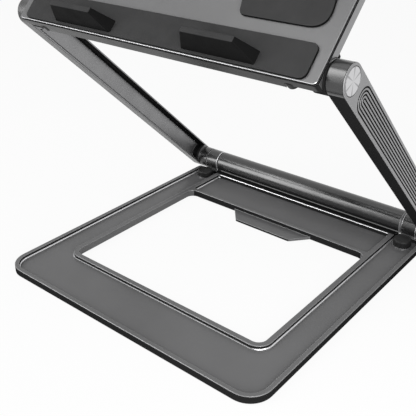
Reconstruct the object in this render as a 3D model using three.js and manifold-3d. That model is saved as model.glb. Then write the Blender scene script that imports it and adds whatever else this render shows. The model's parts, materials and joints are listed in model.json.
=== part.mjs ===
// Folding laptop cooling stand: a tray base with a window, two arms joined by a hinge tube, and a
// tilting platform with rubber pads and two front stops. Millimetres, +Z up, desk at z = 0.
// The origin is the middle of the footprint on the desk. +Y runs to the back, where the tube is.
import * as THREE from 'three';
import { mergeVertices } from 'three/addons/utils/BufferGeometryUtils.js';
import Module from 'manifold-3d';

const wasm = await Module();
wasm.setup();

// Fits shared by all pieces
const fitGap = 0.3;            // clearance between a piece and its seat
const runningGap = 0.8;        // clearance between barrels that turn against each other
const cutOverrun = 1;          // how far a cutting tool passes the face it cuts
const edgeBevel = 0.5;         // small bevel on exposed edges
const roundSteps = 24;         // sides of a full round barrel
const smallSteps = 14;         // sides of a bore, pin, bolt or other small round
const arcSteps = 5;            // steps of a quarter arc in an outline
const endSteps = 8;            // steps of a half circle at the end of a slot
const tubeSteps = 36;          // sides of the hinge tube
const hexSides = 6;            // sides of a hex socket
const weldTolerance = 0.00001; // corners nearer than this are one corner

// Base tray
const baseWidth = 280;
const footHeight = 1;          // feet hold the tray this far off the desk
const baseHeight = 6.9;        // tray bottom to rim top
const channelDepth = 3.6;      // rim top to channel floor
const baseCornerRadius = 20;
const baseRearRadius = 4;
const outerRimWidth = 4;
const innerRimWidth = 5;
const frontBandDepth = 53.6;   // front edge to window
const sideBandWidth = 34;      // side of the base to the window
const windowDepth = 167;
const windowCornerRadius = 8;
const railWidth = 4;           // rail between window and pencil tray
const pencilTrayDepth = 44.5;
const rearRimWidth = 6.8;
const channelRearWall = 1.8;   // thin wall behind each rear bumper
const tabReach = 17;           // finger tab under the rail, pointing into the window
const tabThickness = 2.5;
const tabRootWidth = 96;
const tabTipWidth = 64;

// Feet and rear bumpers
const footRadius = 8;
const footInsetX = 17;
const footInsetY = 19;
const bumperHeight = 6.2;
const bumperRingHeight = 0.8;
const bumperRingLip = 1.1;     // ring edge that shows round the bumper
const bumperSideGap = 1.7;     // ring to the nearer wall of the channel
const bumperFarGap = 3.7;      // ring to the farther wall
const bumperRingBore = 2.5;

// Main hinge: tube, knuckles, shaft
const barrelRadius = 11.45;
const axisHeight = 14.85;      // tray bottom to hinge axis
const axisSetback = 9.7;       // tray rear edge to hinge axis
const knuckleLength = 15.2;
const knuckleLegShare = 0.8;   // how far the leg reaches back, in barrel radii
const collarLength = 10;
const tubeWall = 5.5;
const plugLength = 12;
const plugInset = 1;
const shaftRadius = 3.9;
const bushWall = 2.5;
const tongueLength = 19;       // knuckle plate under the tray floor
const tongueThickness = 1.5;
const knuckleScrewRadius = 1.3;
const knuckleScrewHeadRadius = 2.4;
const knuckleScrewHeadHeight = 0.7;
const knuckleScrewLength = 3;
const washerThickness = 0.4;
const washerRadius = 9.8;

// Arms
const armClearance = 0.56;     // base side to inner face of an arm
const armThickness = 12.1;
const armLength = 298.3;       // axis to axis
const armPocketDepth = 7.6;
const armRimWall = 2.6;
const hubRadius = 15.5;        // solid round the axes, where the pocket stops
const grooveCount = 4;
const grooveWidth = 1.1;
const grooveDepth = 0.8;
const grooveStart = 24;        // pivot to the centre of the groove ends
const grooveOuterRadius = 8.5;
const groovePitch = 2.42;
const capRadius = 9.05;
const capThickness = 1.4;
const boltHeadRadius = 6.6;
const boltHeadHeight = 2.4;
const boltShankRadius = 1.9;
const boltShankLength = 12;
const hexRadius = 2.6;         // hex socket in a bolt head
const hexDepth = 1.4;

// Platform
const platformSideGap = 1.76;  // side of the platform to an arm
const platformDepth = 294;
const plateThickness = 2.2;
const frameHeight = 7.5;
const frameWall = 4;           // width of the front and side bars
const frontBarDrop = 3.6;      // how far the front bar hangs below the frame, between the bumpers
const rearBarDepth = 14;
const grooveNeck = 0.8;        // shadow line between plate and frame
const platformFrontRadius = 3;
const platformRearRadius = 12;
const pivotSetback = 13.5;     // platform front edge to pivot axis
const pivotDrop = 14.2;        // platform top to pivot axis
const ventWidth = 130;
const ventDepth = 110;
const ventFront = 116;         // platform front edge to vent opening
const ventRadius = 22;
const ribWidth = 6;
const ribSetback = 2;          // vent opening to a rib

// Platform hinge lugs
const lugBarrelLength = 9.6;
const lugWasherGap = 0.9;      // lug barrel to arm face, filled by a washer
const lugFlangeThickness = 2;
const lugFlangeRadius = 2;
const lugFlangeReach = 23;     // how far the flange runs inwards from the barrel
const lugFlangeFront = 11;
const lugFlangeBack = 28;
const lugSeam = 5;             // the frame's bars stop this far from the top of a lug barrel
const lugScrewRadius = 1.5;
const lugScrewHeadRadius = 2.8;
const lugScrewHeadHeight = 1.5;
const lugScrewLength = 5;

// Pads, stops and platform bumpers
const padThickness = 1.5;
const frontPadMargin = 0.8;    // platform front edge to pad
const frontPadSideMargin = 7.8;
const frontPadDepth = 24.4;
const stripPadRadius = 5;
const rearPadFront = 34.9;
const rearPadDepth = 60;
const rearPadFrontInner = 65;
const rearPadFrontMargin = 8.3; // pad corners to the side of the platform
const rearPadBackInner = 48;
const rearPadBackMargin = 18.8;
const rearPadInnerRadius = 6;
const rearPadOuterRadius = 13;
const backPadMargin = 14;
const backPadDepth = 22;
const backPadSideMargin = 43.8;
const stopSideDistance = 74.8; // stop centre to the side of the platform
const stopHeight = 20.5;
const stopFootWidth = 62;
const stopTopWidth = 42;
const stopFootDepth = 10.5;
const stopTopDepth = 4;
const stopSetback = 2.6;
const stopLean = 3.4;          // how far the stop's front face leans back
const plateBumperRadius = 4.5;
const plateBumperHeight = 3.9; // below the frame
const plateBumperNest = 2;     // how deep a bumper sits in the front bar
const plateBumperProud = 0.6;  // bumper ahead of the front bar
const plateBumperInset = 22.3; // bumper centre to the side of the platform

// Pose shown
const armRaise = THREE.MathUtils.degToRad(43.2);
const platformTilt = THREE.MathUtils.degToRad(46.3);

// Sizes that follow from the ones above
const windowWidth = baseWidth - 2 * sideBandWidth;
const trayDepth = frontBandDepth + windowDepth + railWidth + pencilTrayDepth + rearRimWidth;
const axisY = trayDepth + axisSetback;
const footprintDepth = axisY + barrelRadius;
const baseFrontY = -footprintDepth / 2;
const rimTop = footHeight + baseHeight;
const channelFloor = rimTop - channelDepth;
const armInnerX = baseWidth / 2 + armClearance;
const armOuterX = armInnerX + armThickness;
const collarInnerX = armInnerX - collarLength;
const knuckleOuterX = collarInnerX - runningGap;
const knuckleInnerX = knuckleOuterX - knuckleLength;
const tubeHalf = knuckleInnerX - runningGap;
const channelWidth = sideBandWidth - outerRimWidth - innerRimWidth;
const bumperRingRadius = (channelWidth - bumperSideGap - bumperFarGap) / 2;
const bumperRadius = bumperRingRadius - bumperRingLip;
const bumperX = windowWidth / 2 + innerRimWidth + bumperSideGap + bumperRingRadius;
const bumperY = trayDepth - channelRearWall - bumperRingRadius - fitGap;
const shaftBore = shaftRadius + fitGap;
const capSeatX = armOuterX - capThickness;
const boltSeatX = capSeatX - fitGap - boltHeadHeight;
const lugOuterX = armInnerX - lugWasherGap;
const lugInnerX = lugOuterX - lugBarrelLength;
const lugFlangeInner = lugInnerX - lugFlangeReach;
const platformHalf = armInnerX - platformSideGap;
const stopCentre = platformHalf - stopSideDistance;
const plateBumperX = platformHalf - plateBumperInset;
const frameTop = -plateThickness - fitGap;
const frameBottom = frameTop - frameHeight;

// Materials
const looks = {
  metal: { color: 0x77777a, roughness: 0.42, metalness: 0.85 },
  tube: { color: 0x7c7c7f, roughness: 0.34, metalness: 0.9 },
  steel: { color: 0x9a9a9c, roughness: 0.3, metalness: 1 },
  disc: { color: 0xd2d2d4, roughness: 0.25, metalness: 1 },
  pad: { color: 0x444446, roughness: 0.8, metalness: 0 },
  rubber: { color: 0x1d1d1f, roughness: 0.7, metalness: 0 },
  bush: { color: 0x2a2a2c, roughness: 0.5, metalness: 0 },
};

// Solids: closed meshes joined and cut
function solidOf(geometry) {
  const bare = geometry.clone();
  bare.deleteAttribute('normal');
  bare.deleteAttribute('uv');
  const merged = mergeVertices(bare, weldTolerance);
  const mesh = new wasm.Mesh({
    numProp: 3,
    vertProperties: Float32Array.from(merged.attributes.position.array),
    triVerts: Uint32Array.from(merged.index.array),
  });
  return new wasm.Manifold(mesh);
}

function geometryOf(solid) {
  const mesh = solid.getMesh();
  const geometry = new THREE.BufferGeometry();
  geometry.setAttribute('position', new THREE.BufferAttribute(Float32Array.from(mesh.vertProperties), 3));
  geometry.setIndex(new THREE.BufferAttribute(Uint32Array.from(mesh.triVerts), 1));
  geometry.computeVertexNormals();
  return geometry;
}

function join(...geometries) {
  return geometryOf(geometries.map(solidOf).reduce((a, b) => a.add(b)));
}

function cut(body, ...tools) {
  return geometryOf(tools.map(solidOf).reduce((a, b) => a.subtract(b), solidOf(body)));
}

function overlap(a, b) {
  return geometryOf(solidOf(a).intersect(solidOf(b)));
}

// Outlines in a plane
function roundedOutline(x0, x1, y0, y1, rFront, rBack = rFront) {
  const s = new THREE.Shape();
  s.moveTo(x0 + rFront, y0);
  s.lineTo(x1 - rFront, y0);
  s.absarc(x1 - rFront, y0 + rFront, rFront, -Math.PI / 2, 0, false);
  s.lineTo(x1, y1 - rBack);
  s.absarc(x1 - rBack, y1 - rBack, rBack, 0, Math.PI / 2, false);
  s.lineTo(x0 + rBack, y1);
  s.absarc(x0 + rBack, y1 - rBack, rBack, Math.PI / 2, Math.PI, false);
  s.lineTo(x0, y0 + rFront);
  s.absarc(x0 + rFront, y0 + rFront, rFront, Math.PI, 1.5 * Math.PI, false);
  return s;
}

function polygonOutline(points) {
  return new THREE.Shape(points.map(([x, y]) => new THREE.Vector2(x, y)));
}

// An outline through corners, each rounded by its own radius
function roundedPolygon(corners) {
  const s = new THREE.Shape();
  corners.forEach(([x, y, r], i) => {
    const at = new THREE.Vector2(x, y);
    const last = new THREE.Vector2(...corners[(i + corners.length - 1) % corners.length]);
    const next = new THREE.Vector2(...corners[(i + 1) % corners.length]);
    const toLast = last.sub(at).normalize();
    const toNext = next.sub(at).normalize();
    const half = toLast.angleTo(toNext) / 2;
    const run = r / Math.tan(half);
    const from = at.clone().addScaledVector(toLast, run);
    const to = at.clone().addScaledVector(toNext, run);
    if (i === 0) s.moveTo(from.x, from.y);
    else s.lineTo(from.x, from.y);
    s.quadraticCurveTo(at.x, at.y, to.x, to.y);
  });
  s.closePath();
  return s;
}

// A long slot with round ends along +X of the outline
function slotOutline(x0, x1, r) {
  const s = new THREE.Shape();
  s.absarc(x0, 0, r, Math.PI / 2, 1.5 * Math.PI, false);
  s.absarc(x1, 0, r, -Math.PI / 2, Math.PI / 2, false);
  return s;
}

// Extrusions: up from z0 to z1, with an optional bevel on both ends
function extrudeUp(shape, z0, z1, bevel = 0, steps = arcSteps) {
  const geometry = new THREE.ExtrudeGeometry(shape, {
    depth: z1 - z0 - 2 * bevel,
    curveSegments: steps,
    bevelEnabled: bevel > 0,
    bevelThickness: bevel,
    bevelSize: bevel,
    bevelOffset: -bevel,
    bevelSegments: 1,
  });
  geometry.translate(0, 0, z0 + bevel);
  return geometry;
}

// The same, but the outline lies in the YZ plane and the extrusion runs along X
function extrudeAcross(shape, x0, x1, bevel = 0, steps = arcSteps) {
  const geometry = extrudeUp(shape, x0, x1, bevel, steps);
  geometry.applyMatrix4(new THREE.Matrix4().makeBasis(
    new THREE.Vector3(0, 1, 0), new THREE.Vector3(0, 0, 1), new THREE.Vector3(1, 0, 0)));
  return geometry;
}

function block(x0, x1, y0, y1, z0, z1) {
  const geometry = new THREE.BoxGeometry(x1 - x0, y1 - y0, z1 - z0);
  geometry.translate((x0 + x1) / 2, (y0 + y1) / 2, (z0 + z1) / 2);
  return geometry;
}

// Turned parts: a profile of [radius, position] turned round X or Z
function turned(profile, axis = 'x', steps = roundSteps) {
  const points = profile.map(([r, h]) => new THREE.Vector2(r, h));
  const geometry = new THREE.LatheGeometry([...points, points[0]], steps);
  if (axis === 'x') geometry.rotateZ(-Math.PI / 2);
  else geometry.rotateX(Math.PI / 2);
  return geometry;
}

function rod(r, x0, x1, axis = 'x', bevel = 0, steps = roundSteps) {
  return turned([[0, x0], [r - bevel, x0], ...(bevel ? [[r, x0 + bevel], [r, x1 - bevel]] : []),
    [r - bevel, x1], [0, x1]].filter((p, i, all) => i === 0 || p.join() !== all[i - 1].join()), axis, steps);
}

function ring(rIn, rOut, x0, x1, axis = 'x', bevel = 0, steps = roundSteps) {
  const profile = [[rIn, x0], [rOut - bevel, x0]];
  if (bevel) profile.push([rOut, x0 + bevel], [rOut, x1 - bevel]);
  profile.push([rOut - bevel, x1], [rIn, x1]);
  return turned(profile, axis, steps);
}

function mirrored(geometry, side) {
  if (side > 0) return geometry;
  return geometryOf(solidOf(geometry).mirror([1, 0, 0]));
}

// Scene groups: the base stands still, the arms turn at the tube, the platform at the arm tops
const stand = new THREE.Group();
const base = new THREE.Group();
const arms = new THREE.Group();
const platform = new THREE.Group();
base.position.set(0, baseFrontY, 0);
arms.position.set(0, baseFrontY + axisY, footHeight + axisHeight);
arms.rotation.x = -armRaise;
platform.position.set(0, -armLength, 0);
platform.rotation.x = armRaise + platformTilt;
arms.add(platform);
stand.add(base, arms);

function add(group, name, geometry, look, x = 0, y = 0, z = 0) {
  const mesh = new THREE.Mesh(geometry, new THREE.MeshStandardMaterial(looks[look]));
  mesh.name = name;
  mesh.position.set(x, y, z);
  group.add(mesh);
}

const sides = [[-1, 'left'], [1, 'right']];

// Base, in coordinates with y = 0 at its front edge

function trayBody() {
  const half = baseWidth / 2;
  const winHalf = windowWidth / 2;
  const winBack = frontBandDepth + windowDepth;
  const dividerOuter = winHalf + innerRimWidth;
  const channelOuter = half - outerRimWidth;
  const channelBack = trayDepth - channelRearWall;
  const body = extrudeUp(roundedOutline(-half, half, 0, trayDepth, baseCornerRadius, baseRearRadius),
    footHeight, rimTop, edgeBevel);
  const window = extrudeUp(roundedOutline(-winHalf, winHalf, frontBandDepth, winBack, windowCornerRadius),
    footHeight - cutOverrun, rimTop + cutOverrun);
  const channel = channelOutline(channelOuter, dividerOuter, channelBack);
  const pocket = extrudeUp(channel, channelFloor, rimTop + cutOverrun);
  const pencilTray = extrudeUp(roundedOutline(-winHalf, winHalf, winBack + railWidth,
    winBack + railWidth + pencilTrayDepth, innerRimWidth / 2), channelFloor, rimTop + cutOverrun);
  const tab = extrudeUp(polygonOutline([
    [-tabRootWidth / 2, winBack + railWidth / 2], [-tabTipWidth / 2, winBack - tabReach],
    [tabTipWidth / 2, winBack - tabReach], [tabRootWidth / 2, winBack + railWidth / 2],
  ]), footHeight, footHeight + tabThickness);
  const tongues = sides.map(([side]) => tonguePocket(side));
  const holes = sides.flatMap(([side]) => knuckleScrewSpots(side).map(([x, y]) => {
    const hole = rod(knuckleScrewRadius + fitGap, footHeight, channelFloor + cutOverrun, 'z', 0, smallSteps);
    hole.translate(x, y, 0);
    return hole;
  }));
  return cut(join(cut(body, window), tab), pocket, pencilTray, ...tongues, ...holes);
}

// The recessed path that runs down the left side, across the front and up the right side
function channelOutline(outer, inner, back) {
  const s = new THREE.Shape();
  const rOut = baseCornerRadius - outerRimWidth;
  const rIn = windowCornerRadius + innerRimWidth;
  const front = frontBandDepth - innerRimWidth;
  s.moveTo(-outer + rOut, outerRimWidth);
  s.lineTo(outer - rOut, outerRimWidth);
  s.absarc(outer - rOut, outerRimWidth + rOut, rOut, -Math.PI / 2, 0, false);
  s.lineTo(outer, back);
  s.lineTo(inner, back);
  s.lineTo(inner, front + rIn);
  s.absarc(inner - rIn, front + rIn, rIn, 0, -Math.PI / 2, true);
  s.lineTo(-inner + rIn, front);
  s.absarc(-inner + rIn, front + rIn, rIn, -Math.PI / 2, -Math.PI, true);
  s.lineTo(-inner, back);
  s.lineTo(-outer, back);
  s.lineTo(-outer, outerRimWidth + rOut);
  s.absarc(-outer + rOut, outerRimWidth + rOut, rOut, Math.PI, 1.5 * Math.PI, false);
  return s;
}

function tonguePocket(side) {
  const [near, far] = [side * (knuckleInnerX - fitGap), side * (knuckleOuterX + fitGap)];
  return block(Math.min(near, far), Math.max(near, far), trayDepth - tongueLength - fitGap,
    trayDepth + cutOverrun, footHeight - cutOverrun, footHeight + tongueThickness + fitGap);
}

function knuckleScrewSpots(side) {
  const x = side * (knuckleInnerX + knuckleOuterX) / 2;
  const edge = 2 * knuckleScrewHeadRadius;
  return [[x - edge, trayDepth - tongueLength / 2], [x + edge, trayDepth - tongueLength / 2]];
}

function knuckleBody() {
  const bore = shaftBore + bushWall + fitGap;
  const barrel = rod(barrelRadius, knuckleInnerX, knuckleOuterX, 'x', edgeBevel);
  barrel.translate(0, axisY, footHeight + axisHeight);
  const legFront = trayDepth + fitGap;
  const leg = block(knuckleInnerX, knuckleOuterX, legFront, axisY + barrelRadius * knuckleLegShare,
    footHeight, footHeight + axisHeight);
  const tongue = block(knuckleInnerX, knuckleOuterX, trayDepth - tongueLength, legFront + fitGap,
    footHeight, footHeight + tongueThickness);
  const holes = knuckleScrewSpots(1).flatMap(([x, y]) => {
    const hole = rod(knuckleScrewRadius + fitGap, footHeight - cutOverrun,
      footHeight + tongueThickness + cutOverrun, 'z', 0, smallSteps);
    const sink = rod(knuckleScrewHeadRadius + fitGap, footHeight - cutOverrun,
      footHeight + knuckleScrewHeadHeight, 'z', 0, smallSteps);
    return [hole, sink].map((g) => g.translate(x, y, 0));
  });
  const boreTool = rod(bore, knuckleInnerX - cutOverrun, knuckleOuterX + cutOverrun, 'x', 0, smallSteps);
  boreTool.translate(0, axisY, footHeight + axisHeight);
  return cut(join(barrel, leg, tongue), boreTool, ...holes);
}

function knuckleScrew() {
  const top = footHeight + knuckleScrewHeadHeight - fitGap;
  return turned([[0, footHeight], [knuckleScrewHeadRadius, footHeight], [knuckleScrewHeadRadius, top],
    [knuckleScrewRadius, top], [knuckleScrewRadius, footHeight + knuckleScrewLength],
    [0, footHeight + knuckleScrewLength]], 'z', smallSteps);
}

function buildBase() {
  add(base, 'base_tray', trayBody(), 'metal');
  const foot = turned([[0, 0], [footRadius - edgeBevel, 0], [footRadius, edgeBevel], [footRadius, footHeight],
    [0, footHeight]], 'z', roundSteps);
  for (const [side, label] of sides) {
    add(base, `foot_front_${label}`, foot, 'rubber', side * (baseWidth / 2 - footInsetX), footInsetY, 0);
    add(base, `foot_rear_${label}`, foot, 'rubber', side * (baseWidth / 2 - footInsetX),
      trayDepth - tongueLength - footInsetY, 0);
    add(base, `rear_bumper_ring_${label}`, ring(bumperRingBore, bumperRingRadius, channelFloor,
      channelFloor + bumperRingHeight, 'z'), 'steel', side * bumperX, bumperY, 0);
    add(base, `rear_bumper_${label}`, rod(bumperRadius, channelFloor + bumperRingHeight,
      channelFloor + bumperRingHeight + bumperHeight, 'z', 2 * edgeBevel), 'rubber',
      side * bumperX, bumperY, 0);
    add(base, `hinge_knuckle_${label}`, mirrored(knuckleBody(), side), 'metal');
    add(base, `knuckle_bush_${label}`, mirrored(ring(shaftBore, shaftBore + bushWall,
      knuckleInnerX, knuckleOuterX, 'x', 0, smallSteps), side), 'bush', 0, axisY, footHeight + axisHeight);
    knuckleScrewSpots(side).forEach(([x, y], i) => {
      add(base, `knuckle_screw_${label}_${i + 1}`, knuckleScrew(), 'steel', x, y, 0);
    });
  }
}

// Arms, laid flat: the hinge axis is the origin and the arms point along -Y

function armBody() {
  const outline = slotOutline(-armLength, 0, barrelRadius);
  const plate = extrudeAcross(outline, armInnerX, armOuterX, edgeBevel, endSteps);
  const collar = rod(barrelRadius, collarInnerX, armInnerX + cutOverrun, 'x', edgeBevel);
  const pocketHalf = barrelRadius - armRimWall;
  const pocket = cut(
    block(armInnerX - cutOverrun, armInnerX + armPocketDepth, -armLength + barrelRadius, -barrelRadius,
      -pocketHalf, pocketHalf),
    rod(hubRadius, armInnerX - 2 * cutOverrun, armOuterX),
    rod(hubRadius, armInnerX - 2 * cutOverrun, armOuterX).translate(0, -armLength, 0));
  const grooves = Array.from({ length: grooveCount }, (_, i) => groove(grooveOuterRadius - i * groovePitch));
  const seats = [0, -armLength].flatMap((y) => [
    rod(shaftBore, collarInnerX - cutOverrun, armOuterX + cutOverrun, 'x', 0, smallSteps).translate(0, y, 0),
    rod(boltHeadRadius + fitGap, boltSeatX - fitGap, armOuterX + cutOverrun, 'x', 0, smallSteps)
      .translate(0, y, 0),
    rod(capRadius + fitGap, capSeatX - fitGap, armOuterX + cutOverrun).translate(0, y, 0),
  ]);
  return cut(join(plate, collar), pocket, ...grooves, ...seats);
}

// One oblong groove on the outer face
function groove(radius) {
  const ends = [-armLength + grooveStart, -grooveStart];
  const x0 = armOuterX - grooveDepth;
  const x1 = armOuterX + cutOverrun;
  const outer = extrudeAcross(slotOutline(...ends, radius + grooveWidth / 2), x0, x1, 0, endSteps);
  const inner = extrudeAcross(slotOutline(...ends, radius - grooveWidth / 2), x0 - cutOverrun,
    x1 + cutOverrun, 0, endSteps);
  return cut(outer, inner);
}

// A bolt: head under the cap and a shank that reaches into the shaft
function bolt(headX, shankRadius, shankEnd) {
  const body = turned([[0, shankEnd], [shankRadius, shankEnd], [shankRadius, headX], [boltHeadRadius, headX],
    [boltHeadRadius, headX + boltHeadHeight], [0, headX + boltHeadHeight]], 'x', smallSteps);
  const socket = rod(hexRadius, headX + boltHeadHeight - hexDepth, headX + boltHeadHeight + cutOverrun,
    'x', 0, hexSides);
  return cut(body, socket);
}

function capDisc() {
  return rod(capRadius, capSeatX, armOuterX);
}

function buildArms() {
  const shaftEnd = boltSeatX - fitGap;
  const boltBore = boltShankRadius + fitGap;
  const shaft = cut(rod(shaftRadius, -shaftEnd, shaftEnd, 'x', 0, smallSteps), ...sides.map(([side]) =>
    mirrored(rod(boltBore, shaftEnd - boltShankLength - fitGap, shaftEnd + cutOverrun, 'x', 0, smallSteps),
      side)));
  add(arms, 'cross_shaft', shaft, 'steel');
  add(arms, 'hinge_tube', ring(barrelRadius - tubeWall, barrelRadius, -tubeHalf, tubeHalf, 'x',
    2 * edgeBevel, tubeSteps), 'tube');
  for (const [side, label] of sides) {
    add(arms, `arm_${label}`, mirrored(armBody(), side), 'metal');
    add(arms, `tube_plug_${label}`, mirrored(ring(shaftBore, barrelRadius - tubeWall - fitGap,
      tubeHalf - plugInset - plugLength, tubeHalf - plugInset, 'x', 0, smallSteps), side), 'bush');
    add(arms, `hinge_washer_${label}`, mirrored(ring(shaftBore, washerRadius,
      tubeHalf + (runningGap - washerThickness) / 2, tubeHalf + (runningGap + washerThickness) / 2,
      'x', 0, smallSteps), side), 'steel');
    add(arms, `shaft_bolt_${label}`, mirrored(bolt(boltSeatX, boltShankRadius,
      shaftEnd - boltShankLength), side), 'steel');
    add(arms, `lower_cap_${label}`, mirrored(capDisc(), side), 'disc');
    add(arms, `upper_cap_${label}`, mirrored(capDisc(), side), 'disc', 0, -armLength, 0);
  }
}

// Platform: the pivot is the origin, +Y runs up the plate and z = pivotDrop is its top face

function platformOutline(inset) {
  const half = platformHalf - inset;
  return roundedOutline(-half, half, inset - pivotSetback, platformDepth - pivotSetback - inset,
    platformFrontRadius, platformRearRadius);
}

function ventOutline() {
  const front = ventFront - pivotSetback;
  return roundedOutline(-ventWidth / 2, ventWidth / 2, front, front + ventDepth, ventRadius);
}

function plateBody() {
  const top = pivotDrop;
  const sheet = extrudeUp(platformOutline(0), top - plateThickness, top, edgeBevel);
  return cut(sheet, extrudeUp(ventOutline(), top - plateThickness - cutOverrun, top + cutOverrun));
}

// Frame under the plate: bars along its edges, two ribs, and corner blocks that take the lugs
const frameFloor = pivotDrop + frameBottom;
const frameCeiling = pivotDrop + frameTop;
const frameFront = -pivotSetback;
const frameBack = platformDepth - pivotSetback;
const lugNotch = barrelRadius + fitGap;
const plateBumperY = -pivotSetback - plateBumperProud + plateBumperRadius;

// The part of the frame's outer form that lies between these limits
function frameBar(x0, x1, y0, y1, floor = frameFloor) {
  const neck = extrudeUp(platformOutline(grooveNeck), frameCeiling - 2 * grooveNeck, frameCeiling);
  const body = extrudeUp(platformOutline(0), floor, frameCeiling - grooveNeck, edgeBevel);
  return overlap(join(neck, body),
    block(x0, x1, y0, y1, floor - cutOverrun, frameCeiling + cutOverrun));
}

function lugNotches() {
  return sides.map(([side]) =>
    mirrored(rod(lugNotch, lugInnerX - fitGap, platformHalf + 2 * cutOverrun), side));
}

// The seats of the platform's bumpers, in the front bar and the corner blocks
function bumperNests() {
  return sides.map(([side]) =>
    rod(plateBumperRadius + fitGap, frameFloor - plateBumperHeight - cutOverrun,
      frameFloor + plateBumperNest + fitGap, 'z').translate(side * plateBumperX, plateBumperY, 0));
}

function frontBarBody() {
  const end = platformHalf + cutOverrun;
  const start = frameFront - cutOverrun;
  const turn = frameBar(platformHalf - frameWall, end, start, -lugSeam);
  const middle = frameBar(-plateBumperX, plateBumperX, start, frameFront + frameWall,
    frameFloor - frontBarDrop);
  const bar = join(frameBar(-end, end, start, frameFront + frameWall), middle, turn, mirrored(turn, -1));
  return cut(bar, ...lugNotches(), ...bumperNests());
}

function rearBarBody() {
  const end = platformHalf + cutOverrun;
  return frameBar(-end, end, frameBack - rearBarDepth, frameBack + cutOverrun);
}

function sideBarBody() {
  const bar = frameBar(platformHalf - frameWall, platformHalf + cutOverrun, lugSeam,
    frameBack - rearBarDepth - fitGap);
  return cut(bar, ...lugNotches());
}

function ribBody() {
  const x = ventWidth / 2 + ribSetback;
  return block(x, x + ribWidth, frameFront + frameWall + fitGap, frameBack - rearBarDepth - fitGap,
    frameFloor, frameCeiling);
}

function cornerBlockBody() {
  const body = block(lugFlangeInner - fitGap, lugInnerX - fitGap, frameFront + frameWall + fitGap,
    frameFront + lugFlangeBack + frameWall, frameFloor, frameCeiling);
  const holes = lugScrewSpots(1).map(([x, y]) =>
    rod(lugScrewRadius + fitGap, frameFloor - cutOverrun, frameFloor + lugScrewLength, 'z', 0, smallSteps)
      .translate(x, y, 0));
  return cut(body, ...holes, ...bumperNests());
}

function lugScrewSpots(side) {
  const x = side * (lugFlangeInner + lugInnerX) / 2;
  const step = (lugFlangeBack - lugFlangeFront) / 4;
  const middle = (lugFlangeFront + lugFlangeBack) / 2 - pivotSetback;
  return [[x, middle - step], [x, middle + step]];
}

function lugBody() {
  const top = frameFloor - fitGap;
  const flange = extrudeUp(roundedOutline(lugFlangeInner, platformHalf, lugFlangeFront - pivotSetback,
    lugFlangeBack - pivotSetback, lugFlangeRadius), top - lugFlangeThickness, top);
  const barrel = rod(barrelRadius, lugInnerX, lugOuterX, 'x', edgeBevel);
  const holes = lugScrewSpots(1).map(([x, y]) =>
    rod(lugScrewRadius + fitGap, top - lugFlangeThickness - cutOverrun, top + cutOverrun, 'z', 0, smallSteps)
      .translate(x, y, 0));
  const bore = rod(shaftBore, lugInnerX - cutOverrun, lugOuterX + cutOverrun, 'x', 0, smallSteps);
  return cut(join(barrel, flange), bore, ...holes);
}

function lugScrew() {
  const seat = frameFloor - fitGap - lugFlangeThickness - fitGap;
  return turned([[0, seat - lugScrewHeadHeight], [lugScrewHeadRadius - edgeBevel, seat - lugScrewHeadHeight],
    [lugScrewHeadRadius, seat - lugScrewHeadHeight + edgeBevel], [lugScrewHeadRadius, seat],
    [lugScrewRadius, seat], [lugScrewRadius, seat + lugScrewLength], [0, seat + lugScrewLength]],
    'z', smallSteps);
}

function stopBody() {
  const foot = pivotDrop + fitGap;
  const top = pivotDrop + stopHeight;
  const front = stopSetback - pivotSetback;
  const wide = polygonOutline([[-stopFootWidth / 2, foot], [stopFootWidth / 2, foot],
    [stopTopWidth / 2, top], [-stopTopWidth / 2, top]]);
  const deep = polygonOutline([[front, foot], [front + stopFootDepth, foot],
    [front + stopLean + stopTopDepth, top], [front + stopLean, top]]);
  const across = extrudeAcross(deep, -stopFootWidth, stopFootWidth);
  const upright = extrudeUp(wide, -platformDepth / 2, platformDepth / 2);
  upright.rotateX(Math.PI / 2);
  return overlap(upright, across);
}

function frontPadBody() {
  const bottom = pivotDrop + fitGap;
  const front = frontPadMargin - pivotSetback;
  const half = platformHalf - frontPadSideMargin;
  const pad = extrudeUp(roundedOutline(-half, half, front, front + frontPadDepth,
    stripPadRadius), bottom, bottom + padThickness, edgeBevel);
  const holes = sides.map(([side]) => {
    const x = side * stopCentre;
    const y = stopSetback - pivotSetback;
    return block(x - stopFootWidth / 2 - fitGap, x + stopFootWidth / 2 + fitGap, y - fitGap,
      y + stopFootDepth + fitGap, bottom - cutOverrun, bottom + padThickness + cutOverrun);
  });
  return cut(pad, ...holes);
}

function rearPadBody() {
  const bottom = pivotDrop + fitGap;
  const front = rearPadFront - pivotSetback;
  const back = front + rearPadDepth;
  return extrudeUp(roundedPolygon([
    [rearPadFrontInner, front, rearPadInnerRadius],
    [platformHalf - rearPadFrontMargin, front, rearPadOuterRadius],
    [platformHalf - rearPadBackMargin, back, rearPadOuterRadius],
    [rearPadBackInner, back, rearPadInnerRadius],
  ]), bottom, bottom + padThickness, edgeBevel);
}

function backPadBody() {
  const bottom = pivotDrop + fitGap;
  const back = platformDepth - pivotSetback - backPadMargin;
  const half = platformHalf - backPadSideMargin;
  return extrudeUp(roundedOutline(-half, half, back - backPadDepth, back,
    stripPadRadius), bottom, bottom + padThickness, edgeBevel);
}

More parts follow.
